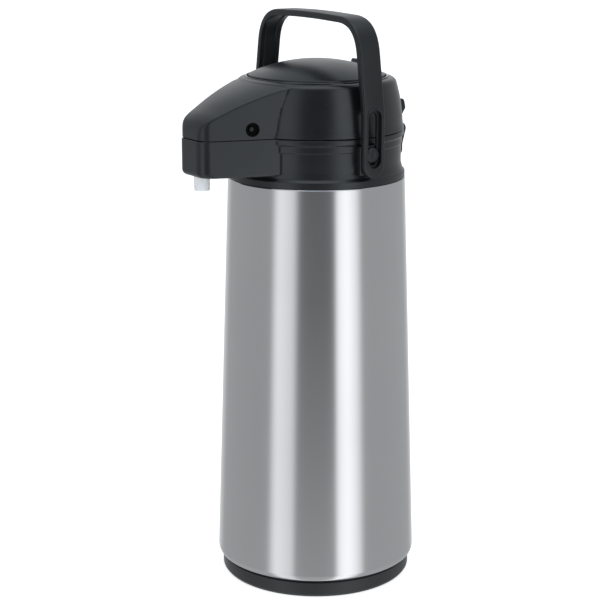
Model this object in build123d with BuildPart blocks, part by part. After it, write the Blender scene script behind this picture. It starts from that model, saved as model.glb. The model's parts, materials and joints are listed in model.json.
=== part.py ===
from build123d import *
import os

os.makedirs("parts", exist_ok=True)

# Thermal pump pot. Millimetres, +Z up, origin at the centre of the foot,
# spout towards -Y, lid hinge at +Y, handle pins on the X axis.

# body
SHELL_R = 66.8
SHELL_TOP_R = 58.2
SHELL_TOP_Z = 271.0
SHELL_T = 0.8
FOOT_R = 63.8
FOOT_TOP = 10.2
LINER_R = 54.0
LINER_IN_R = 49.5
NECK_R = 30.0
NECK_IN_R = 26.0
LIP_Z = 285.0

# collar and lid
PART_Z = 302.0
LID_Z = 302.3
COLLAR_IN_R = 51.0
BORE_R = 46.8
NOSE_FRONT = 94.9
NOSE_HALF = 13.5
NOSE_BACK = 40.0
NOSE_BACK_HALF = 31.5
NOSE_T = 2.5
CROWN_AXIS_Z = 218
NOZZLE_Y = -86.8

# moving parts
HINGE_Y = 60.5
HINGE_Z = 298.0
PIN_Z = 292.5
PIN_R = 3.0
PAD_FACE_X = 60.2
BUTTON_R = 44.3
SCREW_R = 48.4
DOME_R = 106.0
DOME_TOP = 347.2
LATCH_Y = -63.6
LATCH_Z = 308.7
LATCH_X = 23.2
LATCH_REACH = 10.4
SIDE_NX = 0.948
SIDE_NY = -0.318
GOOSE_Z = 290.5
HANDLE_HALF = 7.9
BAIL_X = 65.0
BAIL_TOP = 377.8


def save(part, label):
    part.label = label
    export_step(part, "parts/" + label + ".step")


def nose_plan(grow):
    # closed outline of the spout housing seen from above, grown all round
    Polygon(
        (-NOSE_BACK_HALF, -NOSE_BACK),
        (-NOSE_HALF, -NOSE_FRONT),
        (NOSE_HALF, -NOSE_FRONT),
        (NOSE_BACK_HALF, -NOSE_BACK),
        align=None,
    )
    corners = [v for v in vertices_now() if v.Y < -90]
    fillet(corners, radius=8)
    if grow != 0:
        offset(amount=grow, mode=Mode.REPLACE)


def vertices_now():
    return BuildSketch._get_context().vertices()


# ---------------------------------------------------------------- body
with BuildPart() as outer_shell:
    with BuildSketch(Plane.XZ):
        with BuildLine():
            Polyline((0, 10.5), (63.4, 10.5))
            RadiusArc((63.4, 10.5), (SHELL_R, 15.0), -4.4)
            Polyline((SHELL_R, 15.0), (SHELL_TOP_R, 270.2), (57.8, SHELL_TOP_Z), (0, SHELL_TOP_Z))
            Line((0, SHELL_TOP_Z), (0, 10.5))
        make_face()
    revolve(axis=Axis.Z)
    with BuildSketch(Plane.XZ):
        with BuildLine():
            Polyline((0, 9), (62.8, 9), (62.8, 10.8))
            RadiusArc((62.8, 10.8), (SHELL_R - SHELL_T, 15.0), -4.4)
            Polyline((SHELL_R - SHELL_T, 15.0), (SHELL_TOP_R - SHELL_T, 269.4), (57.1, 273), (0, 273))
            Line((0, 273), (0, 9))
        make_face()
    revolve(axis=Axis.Z, mode=Mode.SUBTRACT)
save(outer_shell.part, "outer_shell")

with BuildPart() as base_ring:
    with BuildSketch(Plane.XZ):
        Polygon(
            (52, 0),
            (62.0, 0),
            (FOOT_R, 1.4),
            (FOOT_R, FOOT_TOP),
            (62.2, FOOT_TOP),
            (62.2, 22),
            (60, 22),
            (60, 6),
            (26, 6),
            (26, 12),
            (20.05, 12),
            (20.05, 0.6),
            (24.5, 0.6),
            (24.5, 3),
            (52, 3),
            align=None,
        )
    revolve(axis=Axis.Z)
    # stiffening ribs across the recess
    with BuildSketch(Plane.XY.offset(1.5)):
        with PolarLocations(38.2, 12):
            Rectangle(28.4, 1.6)
    extrude(amount=2)
save(base_ring.part, "base_ring")

with BuildPart() as bottom_plug:
    with BuildSketch():
        Circle(20.0)
    extrude(amount=12)
    chamfer(bottom_plug.edges().sort_by(Axis.Z)[0], length=0.6)
    with BuildSketch():
        with PolarLocations(12, 3):
            Circle(2.2)
    extrude(amount=5, mode=Mode.SUBTRACT)
    with BuildSketch(Plane.XY.offset(12)):
        Circle(15)
    extrude(amount=-3, mode=Mode.SUBTRACT)
save(bottom_plug.part, "bottom_plug")

with BuildPart() as liner_cushion:
    with BuildSketch(Plane.XZ):
        Polygon(
            (0, 9),
            (14.8, 9),
            (14.8, 12),
            (27, 12),
            (27, 19),
            (25, 21.4),
            (22, 21.4),
            (20, 18),
            (0, 18),
            align=None,
        )
    revolve(axis=Axis.Z)
save(liner_cushion.part, "liner_cushion")


def bottle_line(radius, low, shoulder, neck, neck_low, top):
    # half outline of a bottle with a rounded foot and a shoulder up to a neck
    Line((0, low), (radius - 32, low))
    Spline(
        (radius - 32, low),
        (radius - 8, low + 11),
        (radius, low + 36),
        tangents=((1, 0), (0, 1)),
    )
    Line((radius, low + 36), (radius, shoulder))
    Spline((radius, shoulder), (neck, neck_low), tangents=((0, 1), (0, 1)))
    Polyline((neck, neck_low), (neck, top), (0, top), (0, low))


with BuildPart() as liner_outer:
    with BuildSketch(Plane.XZ):
        with BuildLine():
            bottle_line(LINER_R, 21.5, 232, NECK_R, 268, 283.4)
        make_face()
    revolve(axis=Axis.Z)
    with BuildSketch(Plane.XZ):
        with BuildLine():
            bottle_line(LINER_R - 1.4, 22.9, 231.6, NECK_R - 1.4, 267.6, 290)
        make_face()
    revolve(axis=Axis.Z, mode=Mode.SUBTRACT)
save(liner_outer.part, "liner_outer")

with BuildPart() as liner_inner:
    with BuildSketch(Plane.XZ):
        with BuildLine():
            bottle_line(LINER_IN_R + 1.4, 26.0, 229, NECK_IN_R + 1.4, 266, LIP_Z)
        make_face()
    revolve(axis=Axis.Z)
    with BuildSketch(Plane.XY.offset(283.4)):
        Circle(NECK_R)
    extrude(amount=1.6)
    fillet(liner_inner.edges().filter_by(GeomType.CIRCLE).sort_by(Axis.Z)[-1], radius=0.7)
    with BuildSketch(Plane.XZ):
        with BuildLine():
            bottle_line(LINER_IN_R, 27.4, 228.6, NECK_IN_R, 265.6, 290)
        make_face()
    revolve(axis=Axis.Z, mode=Mode.SUBTRACT)
save(liner_inner.part, "liner_inner")

with BuildPart() as neck_gasket:
    with BuildSketch(Plane.XZ):
        Polygon((30.1, 269), (33.5, 269), (36.5, 272), (36.5, 276), (30.1, 276), align=None)
    revolve(axis=Axis.Z)
save(neck_gasket.part, "neck_gasket")

# ---------------------------------------------------------------- collar
with BuildPart() as lower_hollow:
    with BuildSketch(Plane.XY.offset(282)):
        nose_plan(0.5 - NOSE_T)
    extrude(amount=30)
    with BuildSketch(Plane.XY.offset(280)):
        Circle(54.0)
    extrude(amount=40, mode=Mode.SUBTRACT)

with BuildPart() as collar:
    with BuildSketch(Plane.XY.offset(279.5)):
        nose_plan(0.5)
    extrude(amount=PART_Z - 279.5)
    # the housing's bottom edge is well rounded at the front
    with BuildSketch(Plane.YZ):
        with BuildLine():
            Polyline((-30, 279.5), (-87.9, 279.5))
            ThreePointArc((-87.9, 279.5), (-93.2, 281.7), (-95.4, 287.0))
            Polyline((-95.4, 287.0), (-95.4, 310), (-30, 310), (-30, 279.5))
        make_face()
    extrude(amount=60, both=True, mode=Mode.INTERSECT)
    with BuildSketch(Plane.XZ):
        with BuildLine():
            Polyline((30.4, 276), (53.0, 276), (53.0, 262), (56.4, 262), (56.4, 271.2))
            Polyline((56.4, 271.2), (57.9, 271.2), (57.9, 274.8))
            Spline((57.9, 274.8), (56.1, 277.0), (55.3, 280.6), tangents=((-0.2, 1), (0, 1)))
            Polyline((55.3, 280.6), (55.3, 293.5), (55.8, 293.8), (55.8, 294.6))
            Spline((55.8, 294.6), (56.6, 296.4), (57.0, 298.6), tangents=((0, 1), (0, 1)))
            Polyline((57.0, 298.6), (57.0, 301.6), (56.6, PART_Z), (30.4, PART_Z), (30.4, 276))
        make_face()
    revolve(axis=Axis.Z)
    # pads that carry the handle pins
    for side in (1, -1):
        with BuildSketch(Plane.YZ.offset(side * 50)):
            with Locations((0, 288.6)):
                RectangleRounded(17, 19, 5)
        extrude(amount=side * (PAD_FACE_X - 50))
    pad_rims = collar.faces().filter_by(Axis.X).filter_by(lambda f: abs(f.center().X) > PAD_FACE_X - 0.1)
    fillet([e for f in pad_rims for e in f.edges()], radius=0.8)
    # hinge block and its two ears
    with BuildSketch(Plane.YZ.offset(-11)):
        with BuildLine():
            FilletPolyline((50, 281), (62.6, 281), (62.6, 291.5), (50, 291.5), radius=3)
            Line((50, 291.5), (50, 281))
        make_face()
    extrude(amount=22)
    for ear in (-11, 7.5):
        with BuildSketch(Plane.YZ.offset(ear)):
            Polygon((50, 288), (62.6, 288), (65, HINGE_Z), (56, HINGE_Z), (50, HINGE_Z), align=None)
            with Locations((HINGE_Y, HINGE_Z)):
                Circle(4.5)
        extrude(amount=3.5)
    # the hollow inside
    with BuildSketch(Plane.XY.offset(279)):
        Circle(COLLAR_IN_R)
    extrude(amount=40, mode=Mode.SUBTRACT)
    add(lower_hollow.part, mode=Mode.SUBTRACT)
    with BuildSketch(Plane.YZ.offset(-7.7)):
        with Locations((HINGE_Y, HINGE_Z)):
            Circle(4.9)
        with Locations((HINGE_Y, HINGE_Z + 6)):
            Rectangle(9.8, 12)
    extrude(amount=15.4, mode=Mode.SUBTRACT)
    # inner bosses of the pins
    for side in (1, -1):
        with BuildSketch(Plane.YZ.offset(side * 48)):
            with Locations((0, PIN_Z)):
                Circle(6.5)
        extrude(amount=side * 5)
    # ribs that carry the latch spring
    with BuildSketch(Plane.XY.offset(281)):
        with Locations((6.5, -65), (-6.5, -65)):
            Rectangle(3, 11)
    extrude(amount=16)
    # pin bores, hinge bore, pipe opening, nozzle hole
    with BuildSketch(Plane.YZ.offset(-70)):
        with Locations((0, PIN_Z)):
            Circle(PIN_R + 0.05)
    extrude(amount=140, mode=Mode.SUBTRACT)
    with BuildSketch(Plane.YZ.offset(-9.8)):
        with Locations((HINGE_Y, HINGE_Z)):
            Circle(1.55)
    extrude(amount=19.6, mode=Mode.SUBTRACT)
    with BuildSketch(Plane.XZ.offset(45)):
        with Locations((0, GOOSE_Z)):
            SlotCenterToCenter(4, 9.4, rotation=90)
    extrude(amount=12, mode=Mode.SUBTRACT)
    with BuildSketch(Plane.XY.offset(270)):
        with Locations((0, NOZZLE_Y)):
            Circle(5.3)
    extrude(amount=20, mode=Mode.SUBTRACT)
save(collar.part, "collar")

# ---------------------------------------------------------------- coffee path
with BuildPart() as siphon_gasket:
    with BuildSketch(Plane.XY.offset(LIP_Z)):
        Circle(30.5)
        Circle(26.5, mode=Mode.SUBTRACT)
    extrude(amount=1.5)
save(siphon_gasket.part, "siphon_gasket")

with BuildPart() as siphon_plate:
    with BuildSketch(Plane.XY.offset(286.5)):
        Circle(31)
    extrude(amount=8.5)
    chamfer(siphon_plate.edges().filter_by(GeomType.CIRCLE).sort_by(Axis.Z)[-1], length=1)
    with BuildSketch(Plane.XY.offset(280)):
        Circle(24)
    extrude(amount=6.5)
    # tube socket, cross drilling to the front, two air passages
    with BuildSketch(Plane.XY.offset(270)):
        Circle(4.05)
    extrude(amount=20, mode=Mode.SUBTRACT)
    with BuildSketch(Plane.XZ):
        with Locations((0, GOOSE_Z)):
            Circle(2.3)
    extrude(amount=26, mode=Mode.SUBTRACT)
    with BuildSketch(Plane.XZ.offset(24)):
        with Locations((0, GOOSE_Z)):
            Circle(3.55)
    extrude(amount=10, mode=Mode.SUBTRACT)
    with BuildSketch(Plane.XY.offset(270)):
        with Locations((11, 2), (-11, 2)):
            Circle(2.6)
    extrude(amount=30, mode=Mode.SUBTRACT)
save(siphon_plate.part, "siphon_plate")

with BuildPart() as tube_clamp:
    with BuildSketch(Plane.XY.offset(272)):
        Circle(6.8)
        Circle(4.05, mode=Mode.SUBTRACT)
    extrude(amount=8)
save(tube_clamp.part, "tube_clamp")

with BuildPart() as dip_tube:
    with BuildSketch(Plane.XY.offset(36)):
        Circle(4.0)
        Circle(2.6, mode=Mode.SUBTRACT)
    extrude(amount=252)
    # slanted lower end keeps the tube from sealing on the glass
    with BuildSketch(Plane.YZ.offset(-6)):
        Polygon((-6, 34), (6, 34), (6, 40.5), (-6, 35.5), align=None)
    extrude(amount=12, mode=Mode.SUBTRACT)
save(dip_tube.part, "dip_tube")

with BuildPart() as gooseneck:
    with BuildLine() as goose_path:
        Line((0, -24.4, GOOSE_Z), (0, NOZZLE_Y + 5, GOOSE_Z))
        RadiusArc((0, NOZZLE_Y + 5, GOOSE_Z), (0, NOZZLE_Y, GOOSE_Z - 5), -5)
        Line((0, NOZZLE_Y, GOOSE_Z - 5), (0, NOZZLE_Y, 279))
    with BuildSketch(Plane(origin=(0, -24.4, GOOSE_Z), z_dir=(0, -1, 0))):
        Circle(3.5)
        Circle(2.3, mode=Mode.SUBTRACT)
    sweep(path=goose_path.line)
save(gooseneck.part, "gooseneck")

with BuildPart() as nozzle_seal:
    with BuildSketch(Plane.XY.offset(283.4)):
        with Locations((0, NOZZLE_Y)):
            Circle(5.4)
            Circle(3.6, mode=Mode.SUBTRACT)
    extrude(amount=1.6)
save(nozzle_seal.part, "nozzle_seal")

with BuildPart() as nozzle:
    with BuildSketch(Plane.XY.offset(269.5)):
        with Locations((0, NOZZLE_Y)):
            Circle(5.0)
    extrude(amount=12.5, taper=-0.6)
    with BuildSketch(Plane.XY.offset(282)):
        with Locations((0, NOZZLE_Y)):
            Circle(5.9)
    extrude(amount=1.4)
    with BuildSketch(Plane.XY.offset(269)):
        with Locations((0, NOZZLE_Y)):
            Circle(3.4)
    extrude(amount=9, mode=Mode.SUBTRACT)
    with BuildSketch(Plane.XY.offset(278)):
        with Locations((0, NOZZLE_Y)):
            Circle(3.6)
    extrude(amount=8, mode=Mode.SUBTRACT)
    fillet(nozzle.edges().filter_by(GeomType.CIRCLE).group_by(Axis.Z)[0], radius=0.5)
save(nozzle.part, "nozzle")

# ---------------------------------------------------------------- latch
with BuildPart() as latch_spring:
    with BuildSketch(Plane.XZ.offset(60)):
        with BuildLine():
            Polyline((-7.8, 311), (-7.8, 297), (7.8, 297), (7.8, 311))
            Polyline((7.8, 311), (7.0, 311), (7.0, 297.8), (-7.0, 297.8), (-7.0, 311), (-7.8, 311))
        make_face()
    extrude(amount=10)
save(latch_spring.part, "latch_spring")

for side, name in ((1, "latch_button_left"), (-1, "latch_button_right")):
    with BuildPart() as latch:
        stud_plane = Plane(origin=(side * LATCH_X, LATCH_Y, LATCH_Z), z_dir=(side * SIDE_NX, SIDE_NY, 0))
        with BuildSketch(stud_plane.offset(-9)):
            Circle(3.4)
        extrude(amount=5.6)
        fillet(latch.faces().sort_by(Axis.X)[-1 if side > 0 else 0].edges(), radius=2.2)
        with BuildSketch(Plane.XY.offset(284)):
            post = (side * (LATCH_X - LATCH_REACH * SIDE_NX), LATCH_Y - LATCH_REACH * SIDE_NY)
            with Locations(Location(post, side * -18.5)):
                RectangleRounded(3.8, 8, 1)
        extrude(amount=30)
    save(latch.part, name)

# ---------------------------------------------------------------- lid
with BuildPart() as upper_hollow:
    with BuildSketch(Plane.XY.offset(300)):
        nose_plan(-NOSE_T)
    extrude(amount=45)
    with BuildSketch(Plane.YZ):
        with BuildLine():
            Spline(
                (-96.1, 300.0),
                (-92.5, 309.9),
                (-87.5, 314.4),
                (-79.5, 318.6),
                (-66, 325.6),
                (-50, 332.1),
                (-40, 335.0),
            )
            Polyline((-40, 335.0), (-40, CROWN_AXIS_Z), (-96.1, CROWN_AXIS_Z), (-96.1, 300.0))
        make_face()
    revolve(axis=Axis((0, 0, CROWN_AXIS_Z), (0, 1, 0)), mode=Mode.INTERSECT)
    with BuildSketch(Plane.XY.offset(290)):
        Circle(53.5)
    extrude(amount=60, mode=Mode.SUBTRACT)

with BuildPart() as lid_cover:
    with BuildSketch(Plane.XY.offset(LID_Z)):
        nose_plan(0)
    extrude(amount=45)
    with BuildSketch(Plane.YZ):
        with BuildLine():
            Spline(
                (-96.1, 303.0),
                (-93.6, 311.6),
                (-89.0, 316.5),
                (-81, 321.0),
                (-67, 328.1),
                (-51, 334.8),
                (-40, 338.0),
            )
            Polyline((-40, 338.0), (-40, CROWN_AXIS_Z), (-96.1, CROWN_AXIS_Z), (-96.1, 303.0))
        make_face()
    revolve(axis=Axis((0, 0, CROWN_AXIS_Z), (0, 1, 0)), mode=Mode.INTERSECT)
    nose_top = lid_cover.faces().sort_by(Axis.Z)[-1]
    fillet(nose_top.edges().filter_by(lambda e: e.center().Y < -42), radius=1.2)
    with BuildSketch(Plane.XZ):
        with BuildLine():
            Polyline((40, LID_Z), (56.6, LID_Z), (57.0, 302.7), (57.0, 304.0))
            Spline((57.0, 304.0), (56.2, 306.8), (55.9, 310.3), tangents=((0, 1), (-0.05, 1)))
            Spline(
                (55.9, 310.3),
                (54.1, 323.3),
                (53.1, 327.4),
                (51.8, 332.0),
                tangents=((-0.05, 1), (-0.35, 1)),
            )
            Spline((51.8, 332.0), (50.2, 334.8), (47.2, 336.1), tangents=((-0.35, 1), (-1, 0.1)))
            Polyline((47.2, 336.1), (40, 336.1), (40, LID_Z))
        make_face()
    revolve(axis=Axis.Z)
    # thumb knob over the hinge, and the knuckle below it
    with BuildSketch(Plane.YZ.offset(-8)):
        with BuildLine():
            FilletPolyline((48, 305.4), (63.4, 305.4), (67.4, 311.3), (66.0, 317.6), (48, 317.6), radius=2.2)
            Line((48, 317.6), (48, 305.4))
        make_face()
    extrude(amount=16)
    knob_rims = lid_cover.edges().filter_by(lambda e: e.center().Y > 60 and abs(abs(e.center().X) - 8) < 0.1)
    fillet(knob_rims, radius=1.6)
    with BuildSketch(Plane.YZ.offset(-7.2)):
        Polygon((54, LID_Z + 0.6), (56.4, LID_Z), (64.7, LID_Z - 3), (65, 307), (54, 307), align=None)
        with Locations((HINGE_Y, HINGE_Z)):
            Circle(4.3)
        with Locations((HINGE_Y, HINGE_Z + 3)):
            Rectangle(8.0, 6)
    extrude(amount=14.4)
    # the hollow inside: seat for the pump base, ledge, bore for the bezel
    with BuildSketch(Plane.XZ):
        Polygon(
            (0, 300),
            (51.4, 300),
            (51.4, 305.5),
            (45.5, 305.5),
            (45.5, 309),
            (49.5, 310.5),
            (49.5, 325.5),
            (BORE_R, 329),
            (BORE_R, 345),
            (0, 345),
            align=None,
        )
    revolve(axis=Axis.Z, mode=Mode.SUBTRACT)
    add(upper_hollow.part, mode=Mode.SUBTRACT)
    for side in (1, -1):
        stud_plane = Plane(origin=(side * LATCH_X, LATCH_Y, LATCH_Z), z_dir=(side * SIDE_NX, SIDE_NY, 0))
        with BuildSketch(stud_plane.offset(3)):
            Circle(4.2)
        extrude(amount=-8, mode=Mode.SUBTRACT)
    with BuildSketch(Plane.YZ.offset(-8)):
        with Locations((HINGE_Y, HINGE_Z)):
            Circle(1.55)
    extrude(amount=16, mode=Mode.SUBTRACT)
    with BuildSketch(Plane.XY.offset(302)):
        with PolarLocations(SCREW_R, 4, start_angle=45):
            Circle(1.25)
    extrude(amount=6, mode=Mode.SUBTRACT)
save(lid_cover.part, "lid_cover")

with BuildPart() as hinge_pin:
    with BuildSketch(Plane.YZ.offset(-9.7)):
        with Locations((HINGE_Y, HINGE_Z)):
            Circle(1.5)
    extrude(amount=19.4)
save(hinge_pin.part, "hinge_pin")

with BuildPart() as bezel_ring:
    with BuildSketch(Plane.XZ):
        with BuildLine():
            Polyline((44.9, 318), (46.7, 318), (46.7, 336.3))
            Spline((46.7, 336.3), (45.9, 337.0), (44.9, 335.8), tangents=((0, 1), (0, -1)))
            Line((44.9, 335.8), (44.9, 318))
        make_face()
    revolve(axis=Axis.Z)
save(bezel_ring.part, "bezel_ring")

with BuildPart() as pump_base:
    with BuildSketch(Plane.XY.offset(302.5)):
        Circle(51.2)
    extrude(amount=3)
    with BuildSketch(Plane.XY.offset(298)):
        Circle(26)
    extrude(amount=4.5)
    with BuildSketch(Plane.XY.offset(305.5)):
        Circle(29.5)
        Circle(27.5, mode=Mode.SUBTRACT)
    extrude(amount=3)
    with BuildSketch(Plane.XY.offset(297)):
        Circle(1.55)
        with PolarLocations(5, 6):
            Circle(1.5)
    extrude(amount=12, mode=Mode.SUBTRACT)
    with BuildSketch(Plane.XY.offset(302)):
        with PolarLocations(SCREW_R, 4, start_angle=45):
            Circle(1.35)
    extrude(amount=6, mode=Mode.SUBTRACT)
save(pump_base.part, "pump_base")

for number in range(4):
    with BuildPart() as screw:
        with BuildSketch(Plane.XY.offset(301.0)):
            with PolarLocations(SCREW_R, 1, start_angle=45 + 90 * number):
                Circle(1.9)
        extrude(amount=1.5)
        with BuildSketch(Plane.XY.offset(302.5)):
            with PolarLocations(SCREW_R, 1, start_angle=45 + 90 * number):
                Circle(1.2)
        extrude(amount=5)
    save(screw.part, "pump_screw_" + str(number + 1))

with BuildPart() as lid_gasket:
    with BuildSketch(Plane.XY.offset(295.3)):
        Circle(24)
        Circle(14.5, mode=Mode.SUBTRACT)
    extrude(amount=2.7)
save(lid_gasket.part, "lid_gasket")

with BuildPart() as air_flap:
    with BuildSketch(Plane.XZ):
        Polygon(
            (0, 296.9),
            (7.6, 296.9),
            (7.6, 298),
            (1.5, 298),
            (1.5, 305.5),
            (2.7, 305.5),
            (1.4, 307.4),
            (0, 307.4),
            align=None,
        )
    revolve(axis=Axis.Z)
save(air_flap.part, "air_flap")

with BuildPart() as bellows:
    folds = 7
    low = 305.5
    top = 334.0
    step = (top - low) / (2 * folds)
    outer_line = [(36.0 - 5.0 * (i % 2), low + step * i) for i in range(2 * folds + 1)]
    inner_line = [(35.0 - 5.0 * (i % 2), low + step * i) for i in range(2 * folds + 1)]
    with BuildSketch(Plane.XZ):
        Polygon(*(outer_line + inner_line[::-1]), align=None)
    revolve(axis=Axis.Z)
save(bellows.part, "bellows")

with BuildPart() as return_spring:
    with BuildLine() as coil:
        Helix(pitch=4.8, height=26.0, radius=22.0, center=(0, 0, 306.8))
    with BuildSketch(Plane(origin=coil.line @ 0, z_dir=coil.line % 0)):
        Circle(0.9)
    sweep(path=coil.line, is_frenet=True)
save(return_spring.part, "return_spring")

# ---------------------------------------------------------------- push button
with BuildPart() as push_button:
    with BuildSketch(Plane.XZ):
        with BuildLine():
            Polyline((BUTTON_R, 327), (BUTTON_R, 336.0))
            Spline((BUTTON_R, 336.0), (42.8, 338.17), tangents=((0, 1), (-1, 0.44)))
            RadiusArc((42.8, 338.17), (0, DOME_TOP), -DOME_R)
            Polyline((0, DOME_TOP), (0, 344.8), (17, 343.4), (17, 336), (20, 336), (20, 342.9), (32, 340.1))
            Polyline((32, 340.1), (42.1, 336.2), (42.1, 327), (BUTTON_R, 327))
        make_face()
    revolve(axis=Axis.Z)
    # floor of the lock slider's pocket
    with BuildSketch(Plane.XY.offset(336)):
        Circle(43)
        with Locations((0, 38)):
            Rectangle(36, 18, mode=Mode.INTERSECT)
    extrude(amount=1.9)
    # pocket of the lock slider
    with BuildSketch(Plane.XY.offset(337.4)):
        with Locations((0, 40)):
            Rectangle(31, 17)
    extrude(amount=14, mode=Mode.SUBTRACT)
save(push_button.part, "push_button")

with BuildPart() as plunger_plate:
    with BuildSketch(Plane.XY.offset(334)):
        Circle(38)
    extrude(amount=2)
    with BuildSketch(Plane.XY.offset(330.0)):
        Circle(20.6)
        Circle(18.6, mode=Mode.SUBTRACT)
    extrude(amount=4)
save(plunger_plate.part, "plunger_plate")

with BuildPart() as pump_lock:
    with BuildSketch(Plane.YZ.offset(-15)):
        with BuildLine():
            Polyline((32.4, 337.5), (41.2, 337.5), (41.2, 339.8), (40.4, 343.4))
            Spline((40.4, 343.4), (39.0, 344.4), (37.4, 343.6), tangents=((-0.3, 1), (-0.4, -1)))
            Polyline((37.4, 343.6), (36.4, 340.2), (32.4, 339.8), (32.4, 337.5))
        make_face()
    extrude(amount=30)
    fillet(pump_lock.edges().filter_by(Axis.Z), radius=0.4)
save(pump_lock.part, "pump_lock")

# ---------------------------------------------------------------- handle
for side, name in ((1, "left"), (-1, "right")):
    with BuildPart() as pin:
        with BuildSketch(Plane.YZ.offset(side * 45.6)):
            with Locations((0, PIN_Z)):
                Circle(PIN_R)
        extrude(amount=side * 16.9)
        with BuildSketch(Plane.YZ.offset(side * 62.45)):
            with Locations((0, PIN_Z)):
                Circle(4.85)
        extrude(amount=side * 1.4)
        fillet(pin.edges().filter_by(GeomType.CIRCLE).sort_by(Axis.X)[-1 if side > 0 else 0], radius=0.5)
    save(pin.part, "handle_pin_" + name)
    with BuildPart() as clip:
        with BuildSketch(Plane.YZ.offset(side * 46.4)):
            with Locations((0, PIN_Z)):
                Circle(5.2)
                Circle(PIN_R + 0.02, mode=Mode.SUBTRACT)
        extrude(amount=side * 1.0)
    save(clip.part, "pin_clip_" + name)

with BuildPart() as handle:
    with BuildSketch(Plane.XZ):
        with BuildLine():
            ThreePointArc((-56.2, 376.6), (0, BAIL_TOP), (56.2, 376.6))
            Polyline((56.2, 376.6), (BAIL_X, 319), (BAIL_X, 240), (-BAIL_X, 240))
            Polyline((-BAIL_X, 240), (-BAIL_X, 319), (-56.2, 376.6))
        make_face()
        shoulder = [v for v in vertices_now() if v.Y > 370]
        fillet(shoulder, radius=19)
        knee = [v for v in vertices_now() if 318 < v.Y < 320]
        fillet(knee, radius=60)
        offset(amount=-4.2, mode=Mode.SUBTRACT)
    extrude(amount=HANDLE_HALF, both=True)
    with BuildSketch(Plane.YZ.offset(-80)):
        with BuildLine():
            Line((-HANDLE_HALF, 400), (-HANDLE_HALF, 286.2))
            ThreePointArc((-HANDLE_HALF, 286.2), (0, 278.4), (HANDLE_HALF, 286.2))
            Polyline((HANDLE_HALF, 286.2), (HANDLE_HALF, 400), (-HANDLE_HALF, 400))
        make_face()
    extrude(amount=160, mode=Mode.INTERSECT)
    fillet(handle.edges().filter_by(lambda e: abs(abs(e.center().Y) - HANDLE_HALF) < 0.05), radius=1.1)
    for side in (1, -1):
        with BuildSketch(Plane.YZ.offset(side * 64)):
            with Locations((0, 302.7)):
                SlotCenterToCenter(26.8, 11.8, rotation=90)
        extrude(amount=side * 1.35)
        with BuildSketch(Plane.YZ.offset(side * 62.2)):
            with Locations((0, 302.7)):
                SlotCenterToCenter(26.8, 10.0, rotation=90)
        extrude(amount=side * 8, mode=Mode.SUBTRACT)
        with BuildSketch(Plane.YZ.offset(side * 55)):
            with Locations((0, 302.7)):
                SlotCenterToCenter(26.8, 6.6, rotation=90)
        extrude(amount=side * 12, mode=Mode.SUBTRACT)
save(handle.part, "handle")
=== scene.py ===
"""Looks of the thermal pump pot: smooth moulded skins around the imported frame, materials, studio light."""
import json
import math

import bmesh
import bpy
import numpy as np
from mathutils import Matrix, Vector


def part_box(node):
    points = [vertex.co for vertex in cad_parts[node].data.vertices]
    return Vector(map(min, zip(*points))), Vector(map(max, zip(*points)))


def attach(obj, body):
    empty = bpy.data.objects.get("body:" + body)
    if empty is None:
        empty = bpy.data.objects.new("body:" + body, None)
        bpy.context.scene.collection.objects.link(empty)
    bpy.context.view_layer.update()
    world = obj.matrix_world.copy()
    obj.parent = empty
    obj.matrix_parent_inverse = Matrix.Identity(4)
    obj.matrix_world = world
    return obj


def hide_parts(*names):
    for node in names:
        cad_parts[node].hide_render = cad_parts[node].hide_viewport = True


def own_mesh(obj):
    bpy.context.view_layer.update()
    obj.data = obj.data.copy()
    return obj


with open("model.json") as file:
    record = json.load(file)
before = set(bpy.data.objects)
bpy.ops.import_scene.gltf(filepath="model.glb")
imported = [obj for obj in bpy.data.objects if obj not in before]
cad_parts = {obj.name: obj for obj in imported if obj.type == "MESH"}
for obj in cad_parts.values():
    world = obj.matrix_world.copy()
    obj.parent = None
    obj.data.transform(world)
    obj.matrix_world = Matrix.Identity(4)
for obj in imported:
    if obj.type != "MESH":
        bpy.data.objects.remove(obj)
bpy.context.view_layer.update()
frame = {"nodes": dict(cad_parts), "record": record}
NODES = frame["nodes"]
MM = 0.001

# ------------------------------------------------------------------ sizes, in millimetres
# steel shell: its foot and top edge, and the heights that its straight side runs between
SHELL_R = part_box("outer_shell")[1].x / MM
SHELL_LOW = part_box("outer_shell")[0].z / MM
SHELL_TOP_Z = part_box("outer_shell")[1].z / MM
SHELL_TOP_R = 58.2
SIDE_LOW_Z = SHELL_LOW + 5.0
SIDE_TOP_Z = 270.0
SIDE_MID_Z = 200.0

RIBS = 12

# parting line between collar and lid, with the bevel on either side of it
PART_Z = 302.0
LID_Z = 302.3
BEVEL = 0.5
WALL = 2.4

# lid: the button's bore and its top edge, the head's flat top, the axis of the spout housing's crown
BORE_R = 46.8
BORE_TOP_Z = 336.1
LID_FLAT_Z = 336.3
CROWN_AXIS = 218.0

# collar: outer radius, foot inside the shell's top, flange over it, seat for the siphon, inner wall
COLLAR_R = 57.0
COLLAR_FOOT_R = 56.4
COLLAR_FOOT_Z = 262.0
FLANGE_Z = 271.2
SEAT_Z = 276.0
SEAT_TOP_Z = 279.0
SEAT_R = 30.4
SHELL_FIT_R = 53.0
COLLAR_IN_R = 51.0

# spout housing seen from above, its underside, and the nozzle
NOSE_FRONT = 94.9
NOSE_HALF = 13.5
NOSE_BACK = 40.0
NOSE_BACK_HALF = 31.5
NOSE_CORNER = 8.0
NOSE_LOW = 278.8
NOZZLE_Y = -86.8
NOZZLE_HOLE_R = 5.3
# rounding of the underside's edge along the sides, at the front, and where it grows between them
NOSE_EDGE = 1.5
NOSE_FRONT_EDGE = 3.5
NOSE_EDGE_FROM = 86.0
NOSE_EDGE_RUN = 6.0
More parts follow.
